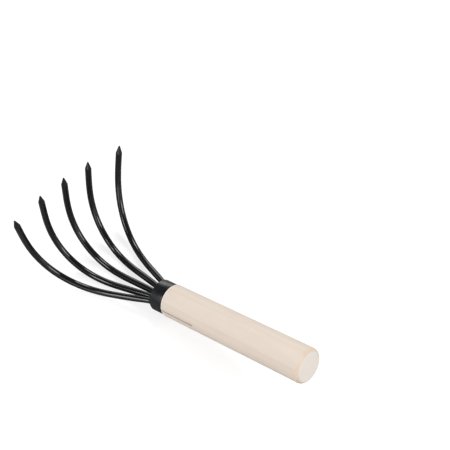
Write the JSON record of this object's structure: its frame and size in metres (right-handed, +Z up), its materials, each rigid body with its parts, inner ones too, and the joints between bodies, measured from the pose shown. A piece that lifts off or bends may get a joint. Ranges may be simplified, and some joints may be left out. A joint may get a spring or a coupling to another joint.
{
  "type": "hand rake",
  "caption": "Hand rake: a row of curved, pointed steel tines held by a steel ferrule on a turned wooden handle, for loosening soil and gathering leaves.",
  "frame": {"origin": "on the ground under the middle of the tool's bounding box, as it lies with the tines curled up", "axes": "+X from the butt towards the tines, +Y to the tool's left, +Z up off the ground"},
  "size_m": [0.226, 0.1048, 0.0667],
  "materials": {
    "bare_wood": "turned and sanded, unfinished",
    "black_paint": "gloss black paint on steel rod",
    "ferrule_black": "satin black paint on steel tube",
    "tang_steel": "plain rolled strip"
  },
  "bodies": {
    "root": {"handle": "bare_wood", "ferrule": "ferrule_black", "tang_plate": "tang_steel", "tine_left_outer": "black_paint", "tine_left_inner": "black_paint", "tine_middle": "black_paint", "tine_right_inner": "black_paint", "tine_right_outer": "black_paint"}
  },
  "joints": []
}
